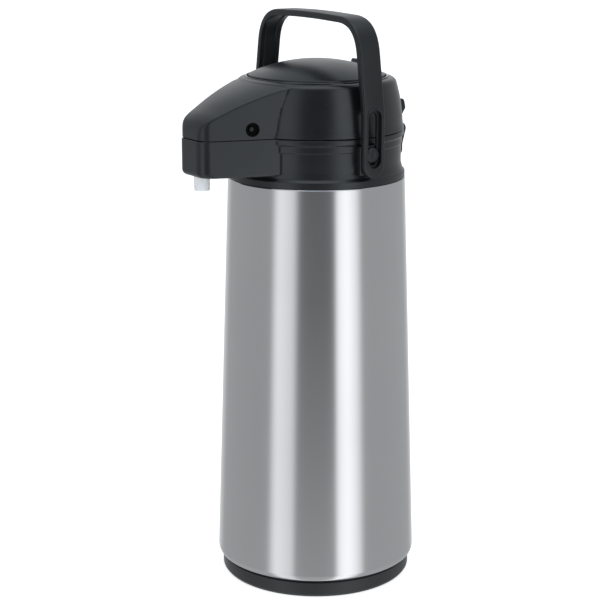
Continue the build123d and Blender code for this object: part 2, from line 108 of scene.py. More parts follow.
# angles from the spout, in degrees and radians: the part with fine steps, and the hollow part
NOSE_SPAN = 36
NOSE_HOLLOW = 0.5

# hinge
HINGE_Y = 60.5
HINGE_Z = 298.0
KNUCKLE_Y = 55.4
KNUCKLE_HALF = 7.7

# latches: middle of the near one's hole, the way it faces, the post behind it
LATCH = (23.4, -63.6, 308.7)
LATCH_HOLE_R = 4.5
LATCH_REACH = 10.4
SIDE_NORMAL = Vector((0.948, -0.318, 0.0)).normalized()

# handle pins and the pads that carry them
PIN_Z = 292.5
PIN_BORE_R = 3.1
PAD_BORE_R = 3.08
PAD_FACE_X = 60.2
PAD_BACK_X = 52.0

# pump: floor and top of the bellows
PUMP_FLOOR = 305.5
BELLOWS_TOP = 333.9

# button dome
DOME_R = 106.0
DOME_TOP = 347.2
BUTTON_R = 44.3
POCKET_Z = 337.4

# bail: thickness, half width, leg, crown, shoulder corner, tail centre and slot ends
HANDLE_T = 4.2
HANDLE_HALF = 7.9
BAIL_X = 65.0
BAIL_TOP = 377.8
SHOULDER = (56.2, 376.6)
TAIL_Z = 286.4
SLOT_LOW = 289.3
SLOT_HIGH = 316.1
SLOT_HALF = 3.3
SLOT_POCKET_HALF = 5.0

# a turned outline stops this short of the axis
AXIS_R = 0.02


# ------------------------------------------------------------------ meshes
def mesh_object(name, verts, faces, material, body, smooth_angle=40):
    """A piece from points in millimetres, smooth but for edges sharper than the angle, riding on a body."""
    mesh = bpy.data.meshes.new(name)
    mesh.from_pydata([Vector(v) * MM for v in verts], [], faces)
    mesh.validate()
    piece = bpy.data.objects.new(name, mesh)
    bpy.context.scene.collection.objects.link(piece)
    finish_mesh(piece, smooth_angle)
    mesh.materials.append(material)
    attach(piece, body)
    return piece


def finish_mesh(piece, smooth_angle):
    """Turns all faces outwards and marks the edges that stay sharp."""
    data = bmesh.new()
    data.from_mesh(piece.data)
    bmesh.ops.recalc_face_normals(data, faces=data.faces)
    limit = math.radians(smooth_angle)
    for edge in data.edges:
        edge.smooth = len(edge.link_faces) == 2 and edge.calc_face_angle(0.0) < limit
    for face in data.faces:
        face.smooth = True
    data.to_mesh(piece.data)
    data.free()


def rounded(points, steps=5):
    """A path past (x, y, radius) points, each corner curved from where an arc of its radius would start."""
    path = []
    count = len(points)
    for i, (x, y, radius) in enumerate(points):
        here = Vector((x, y))
        if radius <= 0 or i in (0, count - 1):
            path.append(tuple(here))
            continue
        back = Vector(points[i - 1][:2]) - here
        on = Vector(points[i + 1][:2]) - here
        turn = math.pi - back.angle(on)
        cut = radius * math.tan(turn / 2)
        cut = min(cut, 0.49 * back.length, 0.49 * on.length)
        start = here + back.normalized() * cut
        end = here + on.normalized() * cut
        for step in range(steps + 1):
            t = step / steps
            path.append(tuple((1 - t) ** 2 * start + 2 * t * (1 - t) * here + t**2 * end))
    return path


def lathe(name, profile, material, body, segments=256, smooth_angle=35):
    """A closed ring of revolution from a closed (radius, height) outline."""
    count = len(profile)
    verts = []
    faces = []
    for s in range(segments):
        a = 2 * math.pi * s / segments
        verts += [(r * math.cos(a), r * math.sin(a), z) for r, z in profile]
    for s in range(segments):
        t = (s + 1) % segments
        for i in range(count):
            j = (i + 1) % count
            faces.append((s * count + i, t * count + i, t * count + j, s * count + j))
    piece = mesh_object(name, verts, faces, material, body, smooth_angle)
    weld(piece)
    return piece


def weld(piece, distance=1e-6):
    """Joins points that lie together and drops faces of no size."""
    data = bmesh.new()
    data.from_mesh(piece.data)
    bmesh.ops.remove_doubles(data, verts=data.verts, dist=distance)
    bmesh.ops.dissolve_degenerate(data, edges=data.edges, dist=distance)
    data.to_mesh(piece.data)
    data.free()


def curve_through(points, count=240):
    """Catmull-Rom samples through a list of 2D points."""
    p = np.array(points, float)
    p = np.vstack([2 * p[0] - p[1], p, 2 * p[-1] - p[-2]])
    spans = len(points) - 1
    t = np.linspace(0, spans, count)
    k = np.minimum(t.astype(int), spans - 1)
    u = (t - k)[:, None]
    a, b, c, d = p[k], p[k + 1], p[k + 2], p[k + 3]
    return 0.5 * (2 * b + (c - a) * u + (2 * a - 5 * b + 4 * c - d) * u**2 + (3 * b - a - 3 * c + d) * u**3)


# ------------------------------------------------------------------ solids as distance fields
def polygon_distance(x, y, corners):
    """Signed distance to a closed polygon, negative inside."""
    corners = np.array(corners, float)
    best = np.full(x.shape, 1e18)
    inside = np.zeros(x.shape, bool)
    for i in range(len(corners)):
        ax, ay = corners[i]
        bx, by = corners[(i + 1) % len(corners)]
        ex, ey = bx - ax, by - ay
        wx, wy = x - ax, y - ay
        t = np.clip((wx * ex + wy * ey) / (ex * ex + ey * ey + 1e-12), 0, 1)
        best = np.minimum(best, (wx - t * ex) ** 2 + (wy - t * ey) ** 2)
        if ay != by:
            crosses = ((ay > y) != (by > y)) & (x < (bx - ax) * (y - ay) / (by - ay) + ax)
            inside ^= crosses
    return np.sqrt(best) * np.where(inside, -1, 1)


def both(a, b, radius):
    """Where two solids overlap, with the edge between them rounded."""
    u = np.maximum(a + radius, 0)
    v = np.maximum(b + radius, 0)
    return np.minimum(-radius, np.maximum(a, b)) + np.hypot(u, v)


def either(a, b, radius):
    """Two solids joined with a fillet."""
    u = np.maximum(radius - a, 0)
    v = np.maximum(radius - b, 0)
    return np.maximum(radius, np.minimum(a, b)) - np.hypot(u, v)


def nose_plan(x, y):
    """The spout housing seen from above: two slanted sides and a front with round corners."""
    slope = (NOSE_BACK_HALF - NOSE_HALF) / (NOSE_FRONT - NOSE_BACK)
    inset = NOSE_CORNER * math.sqrt(1 + slope**2)
    front, back = NOSE_FRONT - NOSE_CORNER, 20
    front_half = NOSE_HALF + slope * (NOSE_FRONT - front) - inset
    back_half = NOSE_HALF + slope * (NOSE_FRONT - back) - inset
    corners = [(-back_half, -back), (-front_half, -front), (front_half, -front), (back_half, -back)]
    return polygon_distance(x, y, corners) - NOSE_CORNER


# the ridge of the spout housing as (y, z), and the side of the lid's round head as (radius, z)
NOSE_TOP = curve_through(
    [
        (-98.5, 290.0), (-96.1, 303.0), (-93.6, 311.6), (-89, 316.5), (-81, 321.0), (-67, 328.1),
        (-51, 334.8), (-40, 338.0), (-20, 340),
    ]
)
LID_SIDE = curve_through(
    [
        (COLLAR_R, 303.6), (56.7, 304.8), (56.3, 306.4), (56.0, 308.8), (55.8, 311.5), (55.2, 316.5),
        (54.2, 323), (53.2, 327.4), (52.3, 330.9), (51.8, 332.8), (51.2, 334.0), (50.1, 335.0),
        (48.4, 335.7), (44.0, LID_FLAT_Z),
    ],
    60,
)


def lid_solid(x, y, z):
    """The lid's outer form: round head, crowned spout housing, and a fine groove where they meet."""
    r = np.hypot(x, y)
    outline = [(0, 290), (COLLAR_R, 290)] + [tuple(p) for p in LID_SIDE] + [(0, LID_FLAT_Z)]
    head = polygon_distance(r, z, outline)
    height = np.interp(y, NOSE_TOP[:, 0], NOSE_TOP[:, 1])
    steep = np.interp(y, NOSE_TOP[:, 0], np.gradient(NOSE_TOP[:, 1], NOSE_TOP[:, 0]))
    crown = CROWN_AXIS + np.sqrt(np.maximum((height - CROWN_AXIS) ** 2 - x**2, 1))
    top = (z - crown) / np.sqrt(1 + steep**2)
    nose = both(nose_plan(x, y), top, 1.1)
    seam = 0.42 * np.clip((330 - z) / 8, 0, 1)
    return np.maximum(either(head, nose, 0.5), seam - np.hypot(head, nose))


# the collar's round part as (radius, z, corner radius)
COLLAR_SIDE = rounded(
    [
        (0, COLLAR_FOOT_Z, 0), (COLLAR_FOOT_R, COLLAR_FOOT_Z, 0), (COLLAR_FOOT_R, FLANGE_Z, 0),
        (57.9, FLANGE_Z, 0.4), (57.9, 275.2, 0.8), (56.3, 277.0, 2.0), (55.3, 281.0, 3.0),
        (55.3, 293.2, 0.2), (55.9, 293.8, 0.2), (55.9, 297.7, 0.4), (COLLAR_R, 298.9, 0.5),
        (COLLAR_R, 310, 0), (0, 310, 0),
    ]
)


def collar_solid(x, y, z):
    """The collar's outer form: ring, lower half of the spout housing, and the notch for the hinge."""
    r = np.hypot(x, y)
    head = polygon_distance(r, z, COLLAR_SIDE)
    ahead = np.clip((-y - NOSE_EDGE_FROM) / NOSE_EDGE_RUN, 0, 1)
    rounding = NOSE_EDGE + (NOSE_FRONT_EDGE - NOSE_EDGE) * ahead**2 * (3 - 2 * ahead)
    nose = both(nose_plan(x, y) - 0.5, NOSE_LOW - z, rounding)
    notch = np.maximum(np.maximum(KNUCKLE_Y - y, np.abs(x) - KNUCKLE_HALF), 293.1 - z)
    return np.maximum(either(head, nose, 0.7), -notch)


def ray_hit(solid, phi, start_r, start_z, angle, reach=90.0, offset=0.0):
    """Where rays from a start point meet a solid's skin, in the half-planes at phi, as (radius, z)."""
    low = np.zeros(phi.shape)
    high = np.full(phi.shape, reach)
    for _ in range(26):
        mid = (low + high) / 2
        r = start_r + mid * np.cos(angle)
        x, y = r * np.sin(phi), -r * np.cos(phi)
        inside = solid(x, y, start_z + mid * np.sin(angle)) + offset < 0
        low = np.where(inside, mid, low)
        high = np.where(inside, high, mid)
    return start_r + low * np.cos(angle), start_z + low * np.sin(angle)


def phi_steps():
    """Angles round the pot from the spout, closer together across the nose."""
    nose = np.arange(-NOSE_SPAN, NOSE_SPAN, 0.2)
    rest = np.arange(NOSE_SPAN, 360 - NOSE_SPAN, 0.9)
    return np.radians(np.concatenate([nose, rest]))


def ring_mesh(name, sections, phi, material, body, smooth_angle=40):
    """Joins closed (radius, height) sections, one for each angle, into a closed skin."""
    count = sections.shape[1]
    verts = []
    faces = []
    for i, a in enumerate(phi):
        s, c = math.sin(a), -math.cos(a)
        verts += [(r * s, r * c, z) for r, z in sections[i]]
    for i in range(len(phi)):
        t = (i + 1) % len(phi)
        for k in range(count):
            j = (k + 1) % count
            faces.append((i * count + k, t * count + k, t * count + j, i * count + j))
    piece = mesh_object(name, verts, faces, material, body, smooth_angle)
    weld(piece)
    return piece


def lid_skin(material):
    """The lid's shell: beveled foot, outer face up to the bore, and the inner face back down."""
    phi = phi_steps()
    rows = 170
    start_r, start_z = 38.0, LID_Z
    top = math.atan2(BORE_TOP_Z - start_z, BORE_R - start_r)
    foot_r, _ = ray_hit(lid_solid, phi, start_r, start_z, np.zeros(phi.shape))
    low = np.arctan2(BEVEL, foot_r - start_r)[:, None]
    grid_angle = low + (top - low) * np.linspace(0, 1, rows)[None, :] ** 1.15
    grid_phi = np.repeat(phi[:, None], rows, 1)
    out_r, out_z = ray_hit(lid_solid, grid_phi, start_r, start_z, grid_angle)
    out_r[:, -1] = BORE_R
    grid_phi, grid_angle = np.meshgrid(phi, top * np.linspace(1, 0, rows // 4), indexing="ij")
    in_r, in_z = ray_hit(lid_solid, grid_phi, start_r, start_z, grid_angle, offset=WALL)
    in_r = np.maximum(in_r, BORE_R)
    bevel_r = foot_r[:, None] - BEVEL
    sections = np.concatenate(
        [
            np.stack([bevel_r, np.full(bevel_r.shape, start_z)], -1),
            np.stack([out_r, out_z], -1),
            np.stack([in_r, in_z], -1),
        ],
        axis=1,
    )
    return ring_mesh("lid_skin", sections, phi, material, "lid")


def collar_skin(material):
    """The collar's shell: outer face from flange to parting line, then the inside back to the flange."""
    phi = phi_steps()
    rows = 120
    start_r, start_z = 30.0, 290.0
    top_r, _ = ray_hit(collar_solid, phi, start_r, PART_Z - BEVEL, np.zeros(phi.shape))
    a_high = np.arctan2(PART_Z - BEVEL - start_z, top_r - start_r)
    a_low = math.atan2(FLANGE_Z + 0.4 - start_z, COLLAR_R - start_r)
    t = np.linspace(0, 1, rows)[None, :]
    grid_angle = a_low + (a_high[:, None] - a_low) * t
    grid_phi = np.repeat(phi[:, None], rows, 1)
    out_r, out_z = ray_hit(collar_solid, grid_phi, start_r, start_z, grid_angle)
    bevel_r = out_r[:, -1:] - BEVEL
    in_top, _ = ray_hit(collar_solid, phi, start_r, 296.0, np.zeros(phi.shape), offset=WALL)
    from_spout = np.abs(np.where(phi > math.pi, phi - 2 * math.pi, phi))
    in_top = np.where(from_spout < NOSE_HOLLOW, in_top, COLLAR_IN_R)
    in_top = np.maximum(in_top, COLLAR_IN_R)
    ones = np.ones((len(phi), 1))
    floor = np.where(in_top > COLLAR_IN_R + 1, NOSE_LOW + WALL, SEAT_TOP_Z)[:, None]
    tail = [
        (bevel_r, PART_Z * ones),
        (in_top[:, None], PART_Z * ones),
        (in_top[:, None], floor),
        (COLLAR_IN_R * 0.98 * ones, floor),
        (COLLAR_IN_R * 0.98 * ones, SEAT_TOP_Z * ones),
        (SEAT_R * ones, SEAT_TOP_Z * ones),
        (SEAT_R * ones, SEAT_Z * ones),
        (SHELL_FIT_R * ones, SEAT_Z * ones),
        (SHELL_FIT_R * ones, COLLAR_FOOT_Z * ones),
        (COLLAR_FOOT_R * ones, COLLAR_FOOT_Z * ones),
        (COLLAR_FOOT_R * ones, FLANGE_Z * ones),
        (57.6 * ones, FLANGE_Z * ones),
    ]
    inner = np.stack([np.concatenate([a for a, _ in tail], 1), np.concatenate([b for _, b in tail], 1)], -1)
    sections = np.concatenate([np.stack([out_r, out_z], -1), inner], axis=1)
    return ring_mesh("collar_skin", sections, phi, material, "pot")


def cut(piece, cutter):
    """Takes the cutter's volume out of the piece and removes the cutter."""
    tool = piece.modifiers.new("cut", "BOOLEAN")
    tool.operation = "DIFFERENCE"
    tool.solver = "EXACT"
    tool.object = cutter
    graph = bpy.context.evaluated_depsgraph_get()
    result = bpy.data.meshes.new_from_object(piece.evaluated_get(graph))
    piece.modifiers.remove(tool)
    old = piece.data
    piece.data = result
    bpy.data.meshes.remove(old)
    bpy.data.objects.remove(cutter)


def rod(name, start, end, radius, sides=48):
    """A closed round bar between two points, used as a cutter."""
    start, end = Vector(start), Vector(end)
    along = (end - start).normalized()
    across = along.orthogonal().normalized()
    up = along.cross(across)
    verts = []
    for centre in (start, end):
        for s in range(sides):
            a = 2 * math.pi * s / sides
            verts.append((centre + radius * (math.cos(a) * across + math.sin(a) * up)) * MM)
    faces = [(s, (s + 1) % sides, sides + (s + 1) % sides, sides + s) for s in range(sides)]
    faces += [tuple(range(sides))[::-1], tuple(range(sides, 2 * sides))]
    mesh = bpy.data.meshes.new(name)
    mesh.from_pydata(verts, [], faces)
    bar = bpy.data.objects.new(name, mesh)
    bpy.context.scene.collection.objects.link(bar)
    return bar


def outline_normals(points):
    """Outward unit normals of a closed anticlockwise outline."""
    p = np.array(points, float)
    on = np.roll(p, -1, 0) - p
    back = p - np.roll(p, 1, 0)
    on /= np.linalg.norm(on, axis=1)[:, None] + 1e-9
    back /= np.linalg.norm(back, axis=1)[:, None] + 1e-9
    along = on + back
    normal = np.stack([along[:, 1], -along[:, 0]], -1)
    return normal / (np.linalg.norm(normal, axis=1)[:, None] + 1e-9)


def prism(name, outline, axis, low, high, edge, material, body, steps=4):
    """A (y, z) outline drawn out along x, or an (x, y) one along z, with its end edges rounded."""
    p = np.array(outline, float)
    if np.sum(p[:, 0] * np.roll(p[:, 1], -1) - p[:, 1] * np.roll(p[:, 0], -1)) < 0:
        p = p[::-1]
    normal = outline_normals(p)
    rings = []
    for step in range(steps + 1):
        a = math.pi / 2 * step / steps
        rings.append((low + edge * (1 - math.sin(a)), edge * (1 - math.cos(a))))
    rings = rings[::-1]
    rings += [(high - (w - low), shrink) for w, shrink in rings[::-1]]
    verts = []
    for w, shrink in rings:
        for u, v in p - normal * shrink:
            verts.append((w, u, v) if axis == "x" else (u, v, w))
    count = len(p)
    faces = []
    for k in range(len(rings) - 1):
        for i in range(count):
            j = (i + 1) % count
            faces.append((k * count + i, k * count + j, (k + 1) * count + j, (k + 1) * count + i))
    faces.append(tuple(range(count))[::-1])
    faces.append(tuple(range((len(rings) - 1) * count, len(rings) * count)))
    return mesh_object(name, verts, faces, material, body, 30)


def slot_outline(half_width, low, high, steps=14):
    """An upright slot outline in (y, z) about y = 0, given its end centres."""
    turn = [math.pi * s / steps for s in range(steps + 1)]
    top = [(half_width * math.cos(a), high + half_width * math.sin(a)) for a in turn]
    foot = [(-half_width * math.cos(a), low - half_width * math.sin(a)) for a in turn]
    return top + foot


# ------------------------------------------------------------------ materials
def shader(name):
    material = bpy.data.materials.new(name)
    material.use_nodes = True
    tree = material.node_tree
    return material, tree, tree.nodes["Principled BSDF"]


def add(tree, kind, **values):
    node = tree.nodes.new(kind)
    for key, value in values.items():
        if hasattr(node, key):
            setattr(node, key, value)
        else:
            node.inputs[key.replace("_", " ")].default_value = value
    return node


def noise(tree, scale, detail=3.0, stretch=None):
    """Noise over object coordinates, in features per metre, stretched if asked."""
    place = add(tree, "ShaderNodeTexCoord")
    texture = add(tree, "ShaderNodeTexNoise", Scale=scale, Detail=detail)
    if stretch:
        mapping = add(tree, "ShaderNodeMapping", Scale=stretch)
        tree.links.new(place.outputs["Object"], mapping.inputs["Vector"])
        tree.links.new(mapping.outputs["Vector"], texture.inputs["Vector"])
    else:
        tree.links.new(place.outputs["Object"], texture.inputs["Vector"])
    return texture.outputs["Fac"]


def spread(tree, source, low, high, from_low=0.3, from_high=0.7):
    node = add(tree, "ShaderNodeMapRange")
    node.inputs["From Min"].default_value = from_low
    node.inputs["From Max"].default_value = from_high
    node.inputs["To Min"].default_value = low
    node.inputs["To Max"].default_value = high
    tree.links.new(source, node.inputs["Value"])
    return node.outputs["Result"]


def bump(tree, height, strength, distance, below=None):
    node = add(tree, "ShaderNodeBump", Strength=strength, Distance=distance)
    tree.links.new(height, node.inputs["Height"])
    if below:
        tree.links.new(below, node.inputs["Normal"])
    return node.outputs["Normal"]


def two_colours(tree, factor, first, second):
    node = add(tree, "ShaderNodeMix", data_type="RGBA")
    node.inputs[6].default_value = (*first, 1)
    node.inputs[7].default_value = (*second, 1)
    tree.links.new(factor, node.inputs[0])
    return node.outputs[2]


GRAIN = 2600
GRAIN_DEPTH = 0.00003
FLOW_DEPTH = 0.00004


def moulded(name, colour, worn, roughness, grain_depth=GRAIN_DEPTH, specular=0.5):
    """Moulded plastic: fine spark-eroded grain, slight flow waves, uneven gloss."""
    material, tree, surface = shader(name)
    cloud = noise(tree, 22, 4)
    fine = noise(tree, GRAIN, 2)
    wave = noise(tree, 60, 2)
    tree.links.new(two_colours(tree, cloud, colour, worn), surface.inputs["Base Color"])
    tree.links.new(spread(tree, cloud, roughness - 0.05, roughness + 0.06), surface.inputs["Roughness"])
    coarse = bump(tree, wave, 0.25, FLOW_DEPTH)
    tree.links.new(bump(tree, fine, 0.35, grain_depth, coarse), surface.inputs["Normal"])
    surface.inputs["Specular IOR Level"].default_value = specular
    surface.inputs["Specular Tint"].default_value = (0.91, 0.97, 1.0, 1)
    return material


def brushed_steel(name):
    """Satin stainless steel, brushed round the pot, so grain lines run level and glints stand tall."""
    material, tree, surface = shader(name)
    lines = noise(tree, 1, 3, stretch=(25, 25, 5200))
    streak = noise(tree, 1, 4, stretch=(38, 38, 6))
    cloud = noise(tree, 14, 3)
    colour = two_colours(tree, cloud, (0.60, 0.605, 0.615), (0.66, 0.66, 0.665))
    tree.links.new(colour, surface.inputs["Base Color"])
    surface.inputs["Metallic"].default_value = 1.0
    surface.inputs["Anisotropic"].default_value = 0.45
    tree.links.new(spread(tree, streak, 0.135, 0.175), surface.inputs["Roughness"])
    tangent = add(tree, "ShaderNodeTangent", direction_type="RADIAL", axis="Z")
    tree.links.new(tangent.outputs["Tangent"], surface.inputs["Tangent"])
    tree.links.new(bump(tree, lines, 0.10, 0.00001), surface.inputs["Normal"])
    return material


def polished(name, colour, roughness):
    """Bright drawn steel with faint patches of a softer shine."""
    material, tree, surface = shader(name)
    cloud = noise(tree, 300, 2)
    darker = tuple(0.93 * c for c in colour)
    tree.links.new(two_colours(tree, cloud, colour, darker), surface.inputs["Base Color"])
    surface.inputs["Metallic"].default_value = 1.0
    tree.links.new(spread(tree, cloud, roughness, roughness + 0.06), surface.inputs["Roughness"])
    return material


def clear_plastic(name):
    """Natural polypropylene: milky, lets some light through, slightly uneven."""
    material, tree, surface = shader(name)
    cloud = noise(tree, 240, 2)
    colour = two_colours(tree, cloud, (0.90, 0.93, 0.95), (0.95, 0.97, 0.98))
    tree.links.new(colour, surface.inputs["Base Color"])
    surface.inputs["Transmission Weight"].default_value = 0.35
    surface.inputs["IOR"].default_value = 1.46
    tree.links.new(spread(tree, cloud, 0.26, 0.36), surface.inputs["Roughness"])
    tree.links.new(bump(tree, cloud, 0.12, 0.00005), surface.inputs["Normal"])
    return material


def silvered_glass(name):
    """The flask's mirror coating, a little uneven."""
    material, tree, surface = shader(name)
    cloud = noise(tree, 30, 3)
    colour = two_colours(tree, cloud, (0.78, 0.80, 0.82), (0.88, 0.89, 0.90))
    tree.links.new(colour, surface.inputs["Base Color"])
    surface.inputs["Metallic"].default_value = 0.9
    tree.links.new(spread(tree, cloud, 0.05, 0.12), surface.inputs["Roughness"])
    return material


STEEL = brushed_steel("satin_steel")
BLACK = moulded("black_moulding", (0.0045, 0.0052, 0.0062), (0.0075, 0.0083, 0.0095), 0.31, specular=0.55)
BUTTON = moulded("black_button", (0.005, 0.0062, 0.0075), (0.008, 0.0092, 0.0108), 0.33, specular=0.5)
GRIP = moulded("black_grip", (0.0055, 0.006, 0.0068), (0.0085, 0.0092, 0.0102), 0.38, specular=0.5)
FOOT = moulded("base_black", (0.015, 0.0155, 0.016), (0.021, 0.0215, 0.022), 0.40)
GLOSS = moulded("gloss_black", (0.012, 0.012, 0.013), (0.016, 0.016, 0.017), 0.16, grain_depth=0.00001)
# near-black and matte: painted shade for the inside of the latch holes
HOLE_SHADE = moulded("painted_shade_sleeve", (0.002, 0.002, 0.002), (0.003, 0.003, 0.003), 0.7, specular=0.15)
WHITE = moulded("white_moulding", (0.74, 0.74, 0.71), (0.66, 0.66, 0.62), 0.38)
SEAL = moulded("silicone", (0.60, 0.60, 0.57), (0.50, 0.50, 0.47), 0.55)
CUSHION = moulded("cushion_rubber", (0.03, 0.03, 0.03), (0.05, 0.05, 0.05), 0.7)
BELLOWS = moulded("bellows_rubber", (0.36, 0.36, 0.34), (0.28, 0.28, 0.27), 0.6)
BRIGHT = polished("bright_steel", (0.66, 0.66, 0.67), 0.18)
CLEAR = clear_plastic("clear_nozzle")
GLASS = silvered_glass("silvered_glass")

LOOK = {
    "brushed_shell": STEEL,
    "black_moulding": BLACK,
    "black_button": BUTTON,
    "base_moulding": FOOT,
    "clear_nozzle": CLEAR,
    "silvered_glass": GLASS,
    "soft_seal": SEAL,
    "cushion_rubber": CUSHION,
    "white_moulding": WHITE,
    "bellows_skin": BELLOWS,
    "bright_steel": BRIGHT,
}


def dress_cad_nodes():
    """Every CAD node takes its slot's material, whether or not a finer piece stands in front of it."""
    for entry in frame["record"]["subparts"]:
        node = NODES[entry["node"]]
        node.data.materials.clear()
        node.data.materials.append(LOOK[entry["material_slot"]])


# ------------------------------------------------------------------ pieces
def steel_shell():
    """The tapered shell, with a rolled foot and a turned-in top edge."""
    low = SHELL_LOW
    slope = (SHELL_TOP_R - SHELL_R) / (SIDE_TOP_Z - SIDE_LOW_Z)
    profile = rounded(
        [
            (62.8, low + 0.5, 0),
            (62.9, low, 0.25),
            (63.5, low, 0.3),
            (66.4, low + 2.4, 3.0),
            (SHELL_R, SIDE_LOW_Z, 3.0),
            (SHELL_R + slope * (SIDE_MID_Z - SIDE_LOW_Z), SIDE_MID_Z, 0),
            (SHELL_TOP_R, SIDE_TOP_Z, 0),
            (SHELL_TOP_R, 270.35, 0.3),
            (57.85, SHELL_TOP_Z, 0.25),
            (57.45, SHELL_TOP_Z, 0.15),
            (57.4, 269.4, 0),
            (65.9, 16.0, 0),
            (62.8, low + 0.8, 0),
        ],
        steps=8,
    )
    piece = lathe("shell", profile, STEEL, "pot", segments=360)
    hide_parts("outer_shell")


def foot():
    """The black base ring, with ribs across its underside."""
    profile = rounded(
        [
            (52, 0, 0), (62.4, 0, 0.5), (63.7, 1.8, 1.5), (63.7, 9.8, 0.5), (62.5, 10.4, 0.4),
            (62.2, 11.5, 0.3), (62.2, 22, 0), (60, 22, 0), (60, 6, 0), (26, 6, 0), (26, 12, 0),
            (20.05, 12, 0), (20.05, 0.6, 0), (24.5, 0.6, 0.3), (24.5, 3, 0), (52, 3, 0),
        ],
        steps=6,
    )
    piece = lathe("base_foot", profile, FOOT, "pot", segments=300)
    for number in range(RIBS):
        a = 2 * math.pi * number / RIBS
        c, s = math.cos(a), math.sin(a)
        outline = [(24.2, -0.8), (52.4, -0.8), (52.4, 0.8), (24.2, 0.8)]
        turned = [(u * c - v * s, u * s + v * c) for u, v in outline]
        rib = prism(f"foot_rib_{number + 1}", turned, "z", 1.5, 4.0, 0.3, FOOT, "pot")
    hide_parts("base_ring")


def lid():
    """The lid with its two latch holes, thumb knob and hinge knuckle."""
    piece = lid_skin(BLACK)
    for side in (1, -1):
        outward = Vector((side * SIDE_NORMAL.x, SIDE_NORMAL.y, 0))
        middle = Vector((side * LATCH[0], LATCH[1], LATCH[2]))
        cut(piece, rod("hole", middle - 6 * outward, middle + 4 * outward, LATCH_HOLE_R))
    finish_mesh(piece, 40)
    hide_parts("lid_cover")
    knob = rounded(
        [(50, 305.4, 0), (63.4, 305.4, 2.4), (67.3, 311.3, 2.6), (65.9, 317.6, 2.6), (50, 317.6, 0)], 6
    )
    thumb = prism("lid_thumb_knob", knob, "x", -8, 8, 1.6, BLACK, "lid")
    neck = [(54.0, 303.2), (56.2, 302.4), (56.2, HINGE_Z)]
    turn = [math.pi * s / 20 for s in range(21)]
    neck += [(HINGE_Y - 4.3 * math.cos(a), HINGE_Z - 4.3 * math.sin(a)) for a in turn]
    neck += [(64.8, 306.5), (54.0, 306.5)]
    knuckle = prism("lid_knuckle", neck, "x", -7.2, 7.2, 0.5, BLACK, "lid")


def pin_bore(side, radius):
    """A cutter for the hole that a handle pin turns in."""
    return rod("bore", (side * 46, 0, PIN_Z), (side * 70, 0, PIN_Z), radius)


def collar():
    """The collar with its nozzle hole, pin pads and hinge block."""
    piece = collar_skin(BLACK)
    cut(piece, rod("hole", (0, NOZZLE_Y, 270), (0, NOZZLE_Y, 290), NOZZLE_HOLE_R))
    for side in (1, -1):
        cut(piece, pin_bore(side, PIN_BORE_R))
    finish_mesh(piece, 40)
    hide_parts("collar")
    pad_line = rounded(
        [(0, 279.6, 0), (7.4, 279.6, 6), (7.4, 298.1, 2), (-7.4, 298.1, 2), (-7.4, 279.6, 6)], 8
    )
    for side, name in ((1, "left"), (-1, "right")):
        low, high = sorted((side * PAD_BACK_X, side * PAD_FACE_X))
        pad = prism("pin_pad_" + name, pad_line, "x", low, high, 0.9, BLACK, "pot")
        cut(pad, pin_bore(side, PAD_BORE_R))
        finish_mesh(pad, 30)
    block = rounded([(52, 281, 0), (62.6, 281, 3), (62.6, 291.5, 1.5), (52, 291.5, 0)], 6)
    rear = prism("hinge_block", block, "x", -11, 11, 1.2, BLACK, "pot")
    turn = [math.pi * s / 18 for s in range(19)]
    ear_line = [(52, 287), (62.0, 287)]
    ear_line += [(HINGE_Y + 4.5 * math.cos(a), HINGE_Z + 4.5 * math.sin(a)) for a in turn]
    ear_line += [(52, 298)]
    for low, name in ((-11, "right"), (7.5, "left")):
        ear = prism("hinge_ear_" + name, ear_line, "x", low, low + 3.5, 0.5, BLACK, "pot")


def bezel():
    """The glossy ring in the lid's bore, round the button."""
    profile = rounded(
        [
            (44.9, 318, 0), (46.7, 318, 0), (46.7, 336.4, 0.5), (46.1, 336.95, 0.6), (45.2, 336.7, 0.6),
            (44.9, 335.6, 0.4),
        ],
        steps=8,
    )
    piece = lathe("bezel", profile, GLOSS, "lid", segments=300)
    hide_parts("bezel_ring")


def dome_height(r):
    return DOME_TOP - DOME_R + math.sqrt(DOME_R**2 - r**2)


def button():
    """The domed button, hollow below, with a pocket at the back for the lock."""
    crown = [(r, dome_height(r)) for r in np.linspace(AXIS_R, 43.2, 40)]
    rim = [crown[-1] + (0,), (BUTTON_R, dome_height(BUTTON_R), 1.6), (BUTTON_R, 327, 0.3), (43.0, 327, 0)]
    edge = rounded(rim, 8)
    inside = [
        (42.1, 327.4), (42.1, 336.2), (32, 340.1), (20, 342.9), (20, 336.2), (17, 336.2), (17, 343.4),
        (AXIS_R, 344.8),
    ]
    piece = lathe("button_cap", crown + edge + inside, BUTTON, "button", segments=300)
    pocket_line = [(-15.5, 31.5), (15.5, 31.5), (15.5, 52), (-15.5, 52)]
    pocket = prism("pocket", pocket_line, "z", POCKET_Z, 352, 0.05, BUTTON, "button")
    cut(piece, pocket)
    finish_mesh(piece, 35)
    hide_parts("push_button")
    floor = rounded(
        [
            (-17, 29, 0), (17, 29, 0.5), (17, 39.2, 0.5), (12.6, 41.4, 0.5), (-12.6, 41.4, 0.5),
            (-17, 39.2, 0.5),
        ],
        2,
    )
    plate = prism("pocket_floor", floor, "z", 336, POCKET_Z, 0.1, BUTTON, "button")


def lock_tab():
    """The lock's slider, a low plate with a ridge for the thumb."""
    side_line = rounded(
        [
            (32.4, 337.55, 0), (41.0, 337.55, 0.2), (41.2, 339.8, 0.5), (40.4, 343.8, 1.4),
            (38.0, 344.5, 1.6), (36.4, 340.6, 1.6), (32.4, 339.8, 0.3),
        ],
        6,
    )
    piece = prism("lock_tab", side_line, "x", -15, 15, 1.2, BUTTON, "lock")
    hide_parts("pump_lock")


